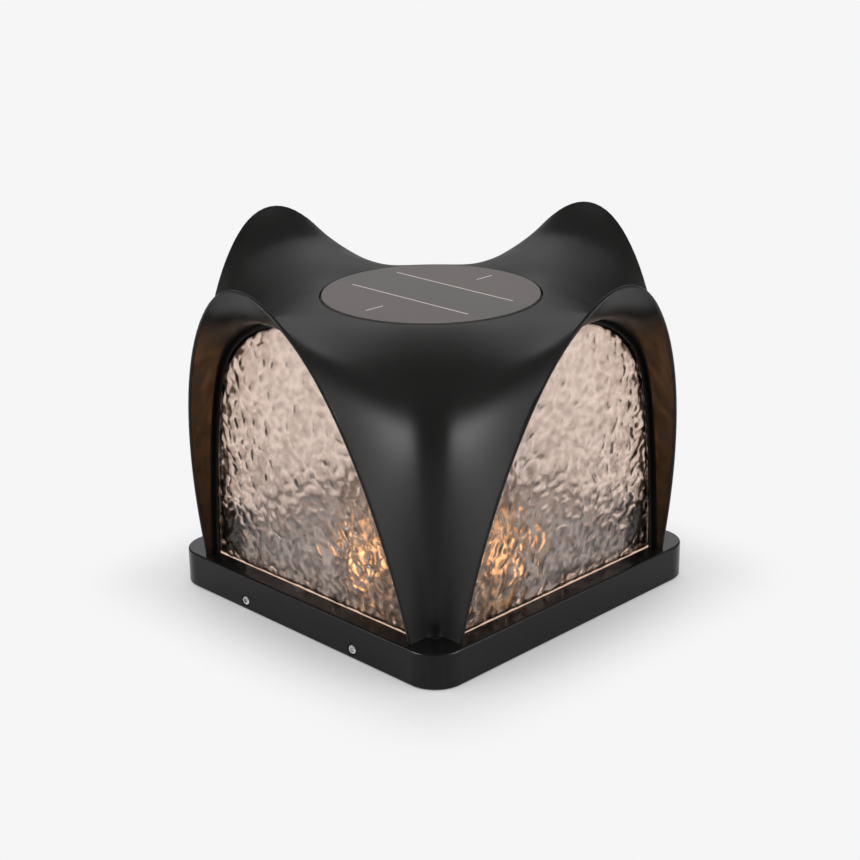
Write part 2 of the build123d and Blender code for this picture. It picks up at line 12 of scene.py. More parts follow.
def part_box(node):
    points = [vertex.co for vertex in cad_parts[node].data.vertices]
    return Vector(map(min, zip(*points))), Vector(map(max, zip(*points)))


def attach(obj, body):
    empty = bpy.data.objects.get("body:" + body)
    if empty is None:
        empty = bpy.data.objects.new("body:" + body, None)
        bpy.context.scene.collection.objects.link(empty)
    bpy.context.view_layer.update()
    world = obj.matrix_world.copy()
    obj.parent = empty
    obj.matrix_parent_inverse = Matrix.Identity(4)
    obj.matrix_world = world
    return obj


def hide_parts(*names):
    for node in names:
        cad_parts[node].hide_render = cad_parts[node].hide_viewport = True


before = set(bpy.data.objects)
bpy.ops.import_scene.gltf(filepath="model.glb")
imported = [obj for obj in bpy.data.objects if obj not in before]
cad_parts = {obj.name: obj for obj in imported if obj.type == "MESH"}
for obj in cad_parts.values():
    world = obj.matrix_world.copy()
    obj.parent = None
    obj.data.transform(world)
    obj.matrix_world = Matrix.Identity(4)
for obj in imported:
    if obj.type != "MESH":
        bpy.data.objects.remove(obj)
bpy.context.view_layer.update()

bl_info = {
    "name": "Post cap light",
    "version": (1, 0, 0),
    "blender": (4, 5, 0),
    "location": "3D View > Sidebar > Post cap",
    "description": "Builds the finished look of a solar post cap light around its solid model",
    "category": "Object",
}

BODY = "lamp"
SIDES = {"front": -pi / 2, "right": 0.0, "rear": pi / 2, "left": pi}

# Places that the solid model gives
COLLAR_LOW, COLLAR_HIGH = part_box("base_collar")
COLLAR_TOP = COLLAR_HIGH.z
BASE_HALF = COLLAR_HIGH.x
TRAY_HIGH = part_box("solar_tray")[1]
SEAL_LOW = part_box("solar_seal")[0]
PANE_LOW, PANE_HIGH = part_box("glass_right")
GASKET_LOW, GASKET_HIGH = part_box("gasket_right")
DRUM_LOW, DRUM_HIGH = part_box("light_drum")

# Small sizes of hidden or flat pieces
LEG_SCREW_HALF = 0.0028
TRAY_SCREW_HALF = 0.0023
MIDDLE_CELL_HALF = 0.0136
DIODES = 8
FLOOR_GAP = 0.0002

# Painted light and shade of the glass, from 0 in the painted shadow of the gasket's lips to 1 on a lit crest
MIDDLE_PAINTED_SHADE = 0.76
PAINTED_TROUGH_SHADE = 0.25
LOW_PAINTED_TROUGH_SHADE = 0.08

# Noise that shapes the ripples and the grain
FACE_STEP = 13.7
SWELL_STEP = 5.0
BEND_PACE = 0.6
BEND_REACH = 0.8
GRAIN_HEIGHT = 0.0002


def length(name, default, description):
    """A size in metres that shows with its unit."""
    return FloatProperty(name=name, description=description, default=default, unit="LENGTH", precision=5)


def share(name, default, description):
    """A plain number without a unit."""
    return FloatProperty(name=name, description=description, default=default, precision=4)


def turn(name, default, description):
    """An angle, given in degrees."""
    return FloatProperty(name=name, description=description, default=radians(default), subtype="ANGLE")


def colour(name, default, description):
    """A colour as it is written on the shader."""
    return FloatVectorProperty(name=name, description=description, default=default, size=3, subtype="COLOR",
                               min=0.0, max=1.0)


def count(name, default, description):
    """A number of steps or copies."""
    return IntProperty(name=name, description=description, default=default, min=1)


class CanopyForm(PropertyGroup):
    """Sizes of the coated canopy."""

    wall: length("Wall", 0.0016, "Thickness of the cast wall")
    rim_round: length("Rim rounding", 0.0007, "Rounding along the free edge")
    deck_round: length("Deck rounding", 0.00025, "Rounding round the disc's opening")
    deck_height: length("Deck height", 0.1319, "Height of the opening for the disc")
    deck_radius: length("Deck radius", 0.048, "Radius of the opening for the disc")
    ear_radius: length("Ear radius", BASE_HALF + 0.022, "Reach of an ear's lip")
    ear_height: length("Ear height", 0.1545, "Height of an ear's lip")
    ear_root_reach: length("Ear root reach", 0.0341, "How far the deck runs on before it rises")
    ear_root_rise: length("Ear root rise", 0.008, "How much the deck rises over that reach")
    ear_lip_reach: length("Ear lip reach", 0.0121, "How far the lip's pull lies inside its edge")
    ear_lip_rise: length("Ear lip rise", 0.02445, "How far the lip's pull lies under its edge")
    leg_tuck: length("Leg tuck", 0.00985, "How far a leg draws in at its foot")
    leg_tuck_power: share("Leg tuck power", 4.0, "How late the leg draws in")
    leg_slope: length("Leg slope", 0.06145, "Fall of the leg's shoulder")
    leg_slope_power: share("Leg slope power", 1.4, "How late the shoulder falls")
    leg_plunge: length("Leg plunge", 0.1049, "Fall of the leg below its shoulder")
    leg_plunge_power: share("Leg plunge power", 7.5, "How late the leg plunges")
    lip_flare: length("Lip flare", 0.00688, "How far the rim flares beside a leg")
    lip_flare_power: share("Lip flare power", 7.0, "How late the rim flares")
    leg_narrowing: share("Leg narrowing", 0.233, "How much a leg is narrower than an ear")
    leg_softening: share("Leg softening", 0.09, "How much rounder the hollow down a leg is")
    deck_mix: share("Deck mix", 0.858, "Fullness of the legs at the deck")
    rim_mix: share("Rim mix", 0.258, "Fullness of the legs at the rim")
    columns: count("Columns", 384, "Faces round the canopy")
    rows: count("Rows", 96, "Faces from the deck to the rim")


class CanopyInside(PropertyGroup):
    """Sizes of the well and bosses under the canopy."""

    well_wall: length("Well wall", 0.002, "Width of the well's ring outside the deck")
    well_overlap: length("Well overlap", 0.0013, "How far the ring reaches under the deck")
    ledge_thickness: length("Ledge thickness", 0.0022, "Thickness of the ledge under the disc")
    ledge_width: length("Ledge width", 0.005, "How far the ledge reaches in from the tray's rim")
    tray_boss: length("Tray boss", 0.006, "Diameter of a boss for a tray screw")
    leg_boss: length("Leg boss", 0.009, "Diameter of a boss in a leg")
    leg_boss_height: length("Leg boss height", 0.018, "Height of a boss in a leg")
    rounding: length("Rounding", 0.0004, "Rounding of the well's and the bosses' edges")


class PaneForm(PropertyGroup):
    """Sizes of the rippled panes."""

    columns: count("Columns", 190, "Faces across a pane")
    rows: count("Rows", 176, "Faces up a pane")
    edge_depth: length("Edge depth", 0.0028, "Depth of the pane's edge under the canopy's outer face")
    ripple: length("Ripple", 0.00095, "Height of the ripples")
    ripple_width: length("Ripple width", 0.0034, "Width of the ripples")
    swell: length("Swell", 0.0003, "Height of the slow waves under them")
    swell_width: length("Swell width", 0.009, "Width of the slow waves")
    seed: count("Seed", 7, "Which pattern the ripples take")
    # Painted shade: how much darker the ripples' troughs are painted than their crests, and how much more
    # near the collar
    tone: share("Tone", 1.35, "How much darker the troughs are than the crests")
    painted_shade_low: share("Low tone", 2.6, "How much that grows towards the collar")
    # Painted shadow of the gasket's lips along a pane's edge
    seam: share("Seam", 0.012, "Share of a pane's reach that is dark under the gasket's lips")


class GasketForm(PropertyGroup):
    """Sizes of the rubber channels round the panes."""

    gap: length("Gap", 0.0002, "Room between the channel and the canopy")
    wall: length("Wall", 0.001, "Thickness of the channel's back")
    grip: length("Grip", 0.001, "How far the lips reach over the pane")
    slot: length("Slot", 0.0001, "Room between the channel and the pane")
    rounding: length("Rounding", 0.0004, "Rounding of the lips")
    steps: count("Steps", 144, "Faces along the arch")


class Finish(PropertyGroup):
    """Colours of the finishes."""

    coat: colour("Coat", (0.0092, 0.0092, 0.0088), "Satin black coat")
    collar: colour("Collar coat", (0.006, 0.006, 0.0059), "Semi-gloss black coat")
    plate: colour("Bare plate", (0.62, 0.65, 0.68), "Cast aluminium on the collar's plate between the panes")
    # Paler coat on edges that stand out: rubbed wear and a painted sheen
    coat_wear_and_sheen: colour("Worn coat", (0.035, 0.035, 0.033), "Coat where an edge has been rubbed")
    rubber: colour("Rubber", (0.008, 0.008, 0.008), "Black rubber")
    # Panes' tint on their crests, and the painted shade in their troughs
    glass: colour("Glass", (1.0, 0.9, 0.83), "Tint of the panes on their crests")
    glass_painted_shade: colour("Deep glass", (0.6, 0.5, 0.45), "Tint of the panes in their troughs")
    # Painted glow: light painted on the panes' ground foot, which is no lamp
    painted_foot_glow_tint: colour("Glass foot", (0.95, 0.66, 0.5), "Light that leaves the panes at their ground foot")
    painted_foot_glow_level: share("Glass foot level", 0.7, "Brightness of that light")
    solar: colour("Solar face", (0.139, 0.124, 0.12), "Grey laminate over the outer solar cells")
    solar_middle: colour("Solar middle", (0.124, 0.121, 0.116), "Grey laminate over the middle solar cell")
    ribbon: colour("Ribbon", (0.62, 0.52, 0.5), "Conductor ribbons in the laminate")
    amber: colour("Lamp light", (1.0, 0.5, 0.19), "Light of the frosted drum")
    drum_level: share("Drum level", 2.2, "Brightness of the drum in front of a diode")
    steel: colour("Steel", (0.82, 0.81, 0.79), "Stainless steel")
    floor: colour("Floor", (0.92, 0.92, 0.925), "Pale studio floor")


class StageSetup(PropertyGroup):
    """The camera, as in the photograph, and the light."""

    azimuth: turn("Azimuth", 45.12, "Side that the camera looks from")
    elevation: turn("Elevation", 19.85, "Height angle that the camera looks from")
    roll: turn("Roll", -0.79, "Tilt of the picture")
    distance: length("Distance", 0.7796, "From the camera to the point it looks at")
    aim_height: length("Aim height", 0.0695, "Height of the point the camera looks at")
    aim_side: length("Aim side", -0.00122, "How far that point lies to the side")
    lens: share("Lens", 73.98, "Focal length on a sensor 36 mm wide")
    floor_half: length("Floor", 6.0, "Half of the floor's width")
    shadow_reach: length("Shadow reach", 0.05, "How far from the collar the floor's shadow fades out")
    shadow_lift: share("Shadow lift", 0.2, "How pale the shadow is at the collar")
    dome: share("Dome", 1.5, "Brightness of the pale dome overhead")
    room: share("Room", 0.24, "Brightness of the dark room that gloss reflects")
    key_turn: turn("Key light turn", 66.0, "How far a key light stands to each side of the camera")
    key_spread: turn("Key light spread", 22.0, "How far a key light fades out to its sides")
    key_rise: share("Key light rise", 0.12, "Rise of a key light's middle")
    key_reach: share("Key light reach", 0.42, "How far a key light fades out up and down")
    key_level: share("Key light level", 20.0, "Brightness of a key light in gloss")
    back_spread: turn("Back light spread", 34.0, "How far the back light fades out to its sides")
    back_rise: share("Back light rise", 0.6, "Rise of the back light's middle")
    back_reach: share("Back light reach", 0.6, "How far the back light fades out up and down")
    back_level: share("Back light level", 1.45, "Brightness of the back light in gloss")
    glow_height: length("Glow height", 0.105, "Height of the lamp that warms the canopy's ears")
    glow_size: length("Glow size", 0.006, "Radius of that lamp")
    glow_power: FloatProperty(name="Glow power", description="Power of that lamp", default=3.6, unit="POWER")


GROUPS = {
    "post_cap_canopy": CanopyForm,
    "post_cap_inside": CanopyInside,
    "post_cap_panes": PaneForm,
    "post_cap_gaskets": GasketForm,
    "post_cap_finish": Finish,
    "post_cap_stage": StageSetup,
}


def settings(name):
    """One group of sizes or colours of the scene in hand."""
    return getattr(bpy.context.scene, "post_cap_" + name)


# Canopy form

def ear_curve(t):
    """Radius and height along the middle of an ear, from the deck to the lip."""
    form = settings("canopy")
    radii = (form.deck_radius, form.deck_radius + form.ear_root_reach,
             form.ear_radius - form.ear_lip_reach, form.ear_radius)
    heights = (form.deck_height, form.deck_height + form.ear_root_rise,
               form.ear_height - form.ear_lip_rise, form.ear_height)
    weights = ((1 - t) ** 3, 3 * t * (1 - t) ** 2, 3 * t * t * (1 - t), t ** 3)
    return sum(w * r for w, r in zip(weights, radii)), sum(w * h for w, h in zip(weights, heights))


def canopy_face(around, t):
    """Points of the outer face: around is 0 in the middle of an ear, t runs from the deck to the rim."""
    form = settings("canopy")
    t = np.maximum(t, 0.0)
    ridge = np.sin(2 * around) ** 2
    mix = form.rim_mix + (form.deck_mix - form.rim_mix) * (1 - t)
    leg_share = ridge * (1 + mix * (1 - ridge))
    radius, ear = ear_curve(t)
    slope = form.leg_slope * t ** form.leg_slope_power
    plunge = form.leg_plunge * t ** form.leg_plunge_power
    leg = form.deck_height - slope - plunge
    tuck = leg_share * form.leg_tuck * t ** form.leg_tuck_power
    flare = 4 * leg_share * (1 - leg_share) * form.lip_flare * t ** form.lip_flare_power
    narrowing = form.leg_narrowing * t * (2 - t)
    angle = around + narrowing * (np.sin(4 * around) + form.leg_softening * np.sin(8 * around))
    reach = radius - tuck + flare
    height = (1 - leg_share) * ear + leg_share * leg
    return np.stack([reach * np.cos(angle), reach * np.sin(angle), height], -1)


def canopy_point(around, t, depth=0.0):
    """Points inside the wall, at a depth square to its outer face."""
    step = 1e-4
    across = canopy_face(around + step, t) - canopy_face(around - step, t)
    along = canopy_face(around, t + step) - canopy_face(around, t - step)
    square = np.cross(across, along)
    square /= np.linalg.norm(square, axis=-1, keepdims=True)
    return canopy_face(around, t) + square * np.asarray(depth)[..., None]


def arch_radius(reach, depth, foot, slope):
    """How far from the middle of its foot an arch is, where an upright plane cuts under the canopy."""
    reach, depth, slope = np.broadcast_arrays(np.asarray(reach, float), depth, slope)
    step = 1e-6
    around = np.zeros(reach.shape)
    t = np.full(reach.shape, 0.5)

    def miss(around, t):
        point = canopy_point(around, t, depth)
        side = (point[..., 2] - foot) * np.cos(slope) - point[..., 1] * np.sin(slope)
        return point[..., 0] - reach, side

    for stage in np.linspace(0.0, 1.0, 9):
        goal = slope
        slope = pi / 2 + (goal - pi / 2) * stage
        for _ in range(6):
            gap = miss(around, t)
            by_around = [(b - a) / step for a, b in zip(gap, miss(around + step, t))]
            by_t = [(b - a) / step for a, b in zip(gap, miss(around, t + step))]
            scale = by_around[0] * by_t[1] - by_around[1] * by_t[0]
            around = around - (gap[0] * by_t[1] - gap[1] * by_t[0]) / scale
            t = t - (by_around[0] * gap[1] - by_around[1] * gap[0]) / scale
        slope = goal
    point = canopy_point(around, t, depth)
    return np.hypot(point[..., 1], point[..., 2] - foot)


def polar(radius, angle, height=0.0):
    """A point at a distance from the light's axis."""
    return Vector((radius * cos(angle), radius * sin(angle), height))


# Mesh tools

def finish_piece(name, mesh_in_hand, material, smooth_below=40.0):
    """Makes a piece from a bmesh, with its finish, and lets it ride on the lamp."""
    mesh = bpy.data.meshes.new(name)
    mesh_in_hand.to_mesh(mesh)
    mesh_in_hand.free()
    mesh.shade_smooth()
    mesh.set_sharp_from_angle(angle=radians(smooth_below))
    mesh.materials.append(material)
    piece = bpy.data.objects.new(name, mesh)
    bpy.context.scene.collection.objects.link(piece)
    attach(piece, BODY)
    return piece


def sheet_grid(columns, rows):
    """A flat grid from 0 to 1 both ways."""
    made = bmesh.new()
    bmesh.ops.create_grid(made, x_segments=columns, y_segments=rows, size=0.5)
    bmesh.ops.translate(made, verts=made.verts, vec=(0.5, 0.5, 0.0))
    return made


def grid_places(made):
    """The grid's vertices as two arrays from 0 to 1."""
    flat = np.array([v.co[:2] for v in made.verts])
    return flat[:, 0], flat[:, 1]


def move_all(made, places):
    """Puts each vertex at its place."""
    for vertex, place in zip(made.verts, places):
        vertex.co = place


def sharp_edges(made, angle=60.0):
    """Edges where two faces meet at more than an angle."""
    return [e for e in made.edges if len(e.link_faces) == 2 and e.calc_face_angle(0.0) > radians(angle)]


def round_edges(made, edges, size, segments=3):
    """Rounds edges with a few faces."""
    bmesh.ops.bevel(made, geom=edges, offset=size, segments=segments, profile=0.5, affect="EDGES",
                    material=-1)


def side_turn(angle):
    """Turns what was made for the right side, where a pane faces +X, to another side."""
    return Matrix.Rotation(angle, 4, "Z")


# Shader tools

def add_node(tree, kind, **values):
    """A node with its settings, and with the inputs that are named."""
    made = tree.nodes.new(kind)
    for key, value in values.items():
        if hasattr(made, key):
            setattr(made, key, value)
        else:
            made.inputs[key].default_value = value
    return made


def feed(tree, value, socket):
    """Links another socket to this one, or sets it to a plain value."""
    if isinstance(value, bpy.types.NodeSocket):
        tree.links.new(value, socket)
    else:
        socket.default_value = value


def maths(tree, operation, *values, clamp=False):
    """The result of one sum."""
    made = add_node(tree, "ShaderNodeMath", operation=operation, use_clamp=clamp)
    for value, socket in zip(values, made.inputs):
        feed(tree, value, socket)
    return made.outputs[0]


def vector_maths(tree, operation, *values):
    """The result of one sum on vectors."""
    made = add_node(tree, "ShaderNodeVectorMath", operation=operation)
    for value, socket in zip(values, made.inputs):
        feed(tree, value, socket)
    return made.outputs["Value" if operation in ("LENGTH", "DOT_PRODUCT") else "Vector"]


def ramp(tree, value, start, end, low=0.0, high=1.0, kind="LINEAR"):
    """A value that goes from low to high while another goes from start to end."""
    made = add_node(tree, "ShaderNodeMapRange", interpolation_type=kind)
    given = {"Value": value, "From Min": start, "From Max": end, "To Min": low, "To Max": high}
    for key, part in given.items():
        feed(tree, part, made.inputs[key])
    return made.outputs["Result"]


def mixed(tree, factor, first, second):
    """A colour between two others."""
    made = add_node(tree, "ShaderNodeMix", data_type="RGBA")
    feed(tree, factor, made.inputs["Factor"])
    feed(tree, first, made.inputs[6])
    feed(tree, second, made.inputs[7])
    return made.outputs[2]


def mixed_shader(tree, factor, first, second):
    """A shader between two others."""
    made = add_node(tree, "ShaderNodeMixShader")
    for value, socket in zip((factor, first, second), made.inputs):
        feed(tree, value, socket)
    return made.outputs[0]


def cloud(tree, place, scale, **values):
    """A soft random pattern."""
    made = add_node(tree, "ShaderNodeTexNoise", **values)
    feed(tree, place, made.inputs["Vector"])
    feed(tree, scale, made.inputs["Scale"])
    return made.outputs[0]


def object_place(tree):
    """The place on a piece."""
    return add_node(tree, "ShaderNodeTexCoord").outputs["Object"]


def axes(tree, vector):
    """The X, Y and Z of a vector."""
    made = add_node(tree, "ShaderNodeSeparateXYZ")
    feed(tree, vector, made.inputs[0])
    return made.outputs


def new_group(name, inputs, outputs):
    """An empty shader group with its sockets, as (group, inputs, outputs)."""
    tree = bpy.data.node_groups.new(name, "ShaderNodeTree")
    for label, kind, default in inputs:
        socket = tree.interface.new_socket(label, in_out="INPUT", socket_type=kind)
        socket.default_value = default
    for label, kind in outputs:
        tree.interface.new_socket(label, in_out="OUTPUT", socket_type=kind)
    return tree, tree.nodes.new("NodeGroupInput").outputs, tree.nodes.new("NodeGroupOutput").inputs


def grain_group():
    """Fine grain of a sprayed or moulded surface, and slow patches in its gloss."""
    known = bpy.data.node_groups.get("fine grain")
    if known:
        return known
    tree, given, out = new_group(
        "fine grain",
        [("Grain per metre", "NodeSocketFloat", 1800.0), ("Patches per metre", "NodeSocketFloat", 22.0),
         ("Least gloss", "NodeSocketFloat", 0.4), ("Most gloss", "NodeSocketFloat", 0.32)],
        [("Height", "NodeSocketFloat"), ("Roughness", "NodeSocketFloat")],
    )
    place = object_place(tree)
    fine = cloud(tree, place, given["Grain per metre"], Detail=3.0, Roughness=0.6)
    slow = cloud(tree, place, given["Patches per metre"], Detail=2.0, Roughness=0.5)
    feed(tree, fine, out["Height"])
    feed(tree, ramp(tree, slow, 0.0, 1.0, given["Most gloss"], given["Least gloss"]), out["Roughness"])
    return tree


def edge_wear_and_sheen_group():
    """Paler colour where an edge stands out: wear where it has been rubbed, and a painted sheen along it."""
    known = bpy.data.node_groups.get("rubbed edge")
    if known:
        return known
    tree, given, out = new_group(
        "rubbed edge",
        [("Colour", "NodeSocketColor", (0.01, 0.01, 0.01, 1.0)),
         ("Rubbed", "NodeSocketColor", (0.1, 0.1, 0.1, 1.0)),
         ("From", "NodeSocketFloat", 0.53), ("To", "NodeSocketFloat", 0.62)],
        [("Colour", "NodeSocketColor")],
    )
    shape = add_node(tree, "ShaderNodeNewGeometry")
    breaks = cloud(tree, object_place(tree), 260.0, Detail=4.0)
    # Edges that stand out are paled: rubbed wear and a painted sheen
    stands_out = ramp(tree, shape.outputs["Pointiness"], given["From"], given["To"])
    paled_edge = maths(tree, "MULTIPLY", stands_out, breaks, clamp=True)
    feed(tree, mixed(tree, paled_edge, given["Colour"], given["Rubbed"]), out["Colour"])
    return tree


def dust_group():
    """A thin film of dust on faces that look up."""
    known = bpy.data.node_groups.get("thin dust")
    if known:
        return known
    tree, given, out = new_group(
        "thin dust",
        [("Colour", "NodeSocketColor", (0.01, 0.01, 0.01, 1.0)),
         ("Dust", "NodeSocketColor", (0.3, 0.28, 0.25, 1.0)),
         ("Amount", "NodeSocketFloat", 0.02)],
        [("Colour", "NodeSocketColor")],
    )
    shape = add_node(tree, "ShaderNodeNewGeometry")
    drift = cloud(tree, object_place(tree), 60.0, Detail=5.0, Roughness=0.65)
    lies = maths(tree, "MULTIPLY", axes(tree, shape.outputs["Normal"])["Z"], drift, clamp=True)
    thin = maths(tree, "MULTIPLY", lies, given["Amount"], clamp=True)
    feed(tree, mixed(tree, thin, given["Colour"], given["Dust"]), out["Colour"])
    return tree


def group_node(tree, group, **values):
    """A group placed in a material, with the inputs that are named."""
    made = tree.nodes.new("ShaderNodeGroup")
    made.node_tree = group
    for key, value in values.items():
        made.inputs[key.replace("_", " ")].default_value = value
    return made


def opaque(value):
    """A colour with full alpha."""
    return (*value, 1.0)


def base_material(name, **sockets):
    """A material with one principled shader, as (material, tree, shader)."""
    made = bpy.data.materials.new(name)
    made.use_nodes = True
    tree = made.node_tree
    shader = tree.nodes["Principled BSDF"]
    for key, value in sockets.items():
        shader.inputs[key.replace("_", " ")].default_value = value
    return made, tree, shader


def bump_from(tree, shader, height, strength, distance):
    """Feeds a height to the shader as a bump."""
    bump = add_node(tree, "ShaderNodeBump", Strength=strength, Distance=distance)
    feed(tree, height, bump.inputs["Height"])
    feed(tree, bump.outputs["Normal"], shader.inputs["Normal"])


def grained_material(name, colour_in, rubbed_and_sheen=None, grain=1800.0, bump=0.12, gloss=(0.32, 0.42), dust=0.0,
                     **sockets):
    """A sprayed, moulded or rolled surface: grain, patches of gloss, rubbed edges with a painted sheen, and
    a little dust.
    """
    made, tree, shader = base_material(name, **sockets)
    fine = group_node(tree, grain_group(), Grain_per_metre=grain, Most_gloss=gloss[0], Least_gloss=gloss[1])
    edge = group_node(tree, edge_wear_and_sheen_group(), Colour=opaque(colour_in), Rubbed=opaque(rubbed_and_sheen or colour_in))
    film = group_node(tree, dust_group(), Amount=dust)
    feed(tree, edge.outputs["Colour"], film.inputs["Colour"])
    feed(tree, film.outputs["Colour"], shader.inputs["Base Color"])
    feed(tree, fine.outputs["Roughness"], shader.inputs["Roughness"])
    bump_from(tree, shader, fine.outputs["Height"], bump, GRAIN_HEIGHT)
    return made


def rubbed_and_sheen_node(tree):
    """The group in a grained material that pales its edges, as wear and a painted sheen."""
    return next(node for node in tree.nodes if node.type == "GROUP" and "Rubbed" in node.inputs)


def side_reach(tree, place):
    """How far a place lies from the light's axis, square to the nearest side."""
    x, y, _ = axes(tree, place)
    return maths(tree, "MAXIMUM", maths(tree, "ABSOLUTE", x), maths(tree, "ABSOLUTE", y))


# Finishes

def canopy_finish():
    """Satin black coat on the cast canopy."""
    tint = settings("finish")
    made = grained_material("canopy coat", tint.coat, tint.coat_wear_and_sheen, grain=2600.0, bump=0.1,
                            gloss=(0.31, 0.38), dust=0.015, Specular_IOR_Level=0.17)
    dull_top(made.node_tree, amount=0.16)
    return made


def dull_top(tree, amount):
    """Takes gloss off the faces that lie flat, where weather and handling have dulled the coat."""
    gloss = tree.nodes["Principled BSDF"].inputs["Roughness"]
    normal = add_node(tree, "ShaderNodeNewGeometry").outputs["Normal"]
    flat = ramp(tree, axes(tree, normal)["Z"], 0.8, 0.98, kind="SMOOTHSTEP")
    feed(tree, maths(tree, "MULTIPLY_ADD", flat, amount, gloss.links[0].from_socket), gloss)


def collar_finish():
    """Semi-gloss black coat on the cast collar, whose metal is left bare between the panes."""
    tint = settings("finish")
    made = grained_material("collar coat", tint.collar, tint.coat_wear_and_sheen, grain=2200.0, bump=0.08,
                            gloss=(0.2, 0.26), dust=0.01, Specular_IOR_Level=0.18)
    tree = made.node_tree
    place = object_place(tree)
    upper = maths(tree, "GREATER_THAN", axes(tree, place)["Z"], COLLAR_TOP - 0.0005)
    within = maths(tree, "LESS_THAN", side_reach(tree, place), PANE_LOW.x - 0.0003)
    bare = maths(tree, "MULTIPLY", upper, within)
    cast = mixed(tree, bare, opaque(tint.collar), opaque(tint.plate))
    feed(tree, cast, rubbed_and_sheen_node(tree).inputs["Colour"])
    feed(tree, bare, tree.nodes["Principled BSDF"].inputs["Metallic"])
    return made


def rubber_finish(name):
    """Black moulded rubber."""
    return grained_material(name, settings("finish").rubber, grain=3200.0, bump=0.15, gloss=(0.4, 0.55),
                            Specular_IOR_Level=0.2)


def glass_finish():
    """Tinted rolled glass that lets the lamp's light through, with painted light and shade on its ripples, a
    painted shadow at its seam, and a painted glow along its ground foot.
    """
    tint = settings("finish")
    made, tree, shader = base_material("rippled glass", IOR=1.47, Transmission_Weight=1.0,
                                       Specular_Tint=(0.45, 0.45, 0.45, 1.0))
    place = object_place(tree)
    bump_from(tree, shader, cloud(tree, place, 420.0, Detail=2.0), strength=0.06, distance=0.0005)
    # Painted shade: the base colour goes from the crest tint to the trough tint, and to near black in the
    # seam's painted shadow
    tone = add_node(tree, "ShaderNodeAttribute", attribute_type="GEOMETRY", attribute_name="tone")
    painted_shade_ramp = add_node(tree, "ShaderNodeValToRGB")
    painted_shade_ramp.color_ramp.elements[0].color = (0.01, 0.01, 0.01, 1.0)
    painted_shade_ramp.color_ramp.elements[1].color = opaque(tint.glass)
    painted_shade_ramp.color_ramp.elements.new(PAINTED_TROUGH_SHADE).color = opaque(tint.glass_painted_shade)
    feed(tree, tone.outputs["Fac"], painted_shade_ramp.inputs[0])
    feed(tree, painted_shade_ramp.outputs["Color"], shader.inputs["Base Color"])
    outer = satin_back(tree, shader, place)
    painted_foot_glow(tree, shader, place, outer)
    light_through(tree, shader, place)
    return made


def satin_back(tree, shader, place):
    """Clear rolled glass outside and a satin face inside; gives back a mask of the outer face."""
    reach = side_reach(tree, place)
    middle = (PANE_LOW.x + PANE_HIGH.x) / 2
    satin = ramp(tree, reach, middle - 0.0002, middle + 0.0002, low=0.2, high=0.11)
    feed(tree, satin, shader.inputs["Roughness"])
    return maths(tree, "GREATER_THAN", reach, middle)


def painted_foot_glow(tree, shader, place, outer):
    """A painted glow: a pale emitting line just above the collar, where the ground foot of a pane would let
    the lamp's light out.
    """
    tint = settings("finish")
    wave = cloud(tree, place, 150.0, Detail=2.0)
    lifted = maths(tree, "MULTIPLY_ADD", wave, -0.001, axes(tree, place)["Z"])
    line = ramp(tree, lifted, COLLAR_TOP - 0.0002, COLLAR_TOP - 0.0004, kind="SMOOTHSTEP")
    glow = mixed(tree, maths(tree, "MULTIPLY", line, outer), (0.0, 0.0, 0.0, 1.0), opaque(tint.painted_foot_glow_tint))
    feed(tree, glow, shader.inputs["Emission Color"])
    shader.inputs["Emission Strength"].default_value = tint.painted_foot_glow_level


def light_through(tree, shader, place):
    """Lets a lamp shine through the glass, in the bright bands that ripples cast."""
    bands = ramp(tree, cloud(tree, place, 170.0, Detail=2.0, Distortion=0.9), 0.42, 0.66)
    through = add_node(tree, "ShaderNodeBsdfTransparent")
    feed(tree, mixed(tree, bands, (0.5, 0.46, 0.42, 1.0), (1.0, 0.92, 0.85, 1.0)), through.inputs["Color"])
    path = add_node(tree, "ShaderNodeLightPath")
    shadow = path.outputs["Is Shadow Ray"]
    surface = mixed_shader(tree, shadow, shader.outputs["BSDF"], through.outputs["BSDF"])
    feed(tree, surface, tree.nodes["Material Output"].inputs["Surface"])


def solar_finish():
    """Grey laminate over three cells, of which the middle one is a little cooler."""
    tint = settings("finish")
    made = grained_material("solar laminate", tint.solar, grain=3000.0, bump=0.1, gloss=(0.62, 0.72),
                            dust=0.02, Specular_IOR_Level=0.2)
    tree = made.node_tree
    across = maths(tree, "ABSOLUTE", axes(tree, object_place(tree))["Y"])
    outer = maths(tree, "GREATER_THAN", across, MIDDLE_CELL_HALF)
    cells = mixed(tree, outer, opaque(tint.solar_middle), opaque(tint.solar))
    for key in ("Colour", "Rubbed"):
        feed(tree, cells, rubbed_and_sheen_node(tree).inputs[key])
    return made


def drum_finish():
    """Frosted plastic lit from inside, with a hot spot in front of each diode."""
    tint = settings("finish")
    made, tree, shader = base_material("frosted drum", Roughness=0.45)
    place = object_place(tree)
    x, y, z = axes(tree, place)
    frost = mixed(tree, cloud(tree, place, 90.0, Detail=3.0), (0.4, 0.36, 0.32, 1.0), (0.6, 0.55, 0.5, 1.0))
    feed(tree, frost, shader.inputs["Base Color"])
    angle = maths(tree, "ARCTAN2", y, x)
    facing = maths(tree, "COSINE", maths(tree, "MULTIPLY", angle, DIODES))
    spot = ramp(tree, facing, 0.4, 1.0, kind="SMOOTHSTEP")
    rise = ramp(tree, z, DRUM_HIGH.z, DRUM_LOW.z, kind="SMOOTHSTEP")
    dim = tuple(0.03 * part for part in tint.amber)
    glow = mixed(tree, maths(tree, "MULTIPLY", spot, rise), opaque(dim), opaque(tint.amber))
    feed(tree, glow, shader.inputs["Emission Color"])
    shader.inputs["Emission Strength"].default_value = tint.drum_level
    return made


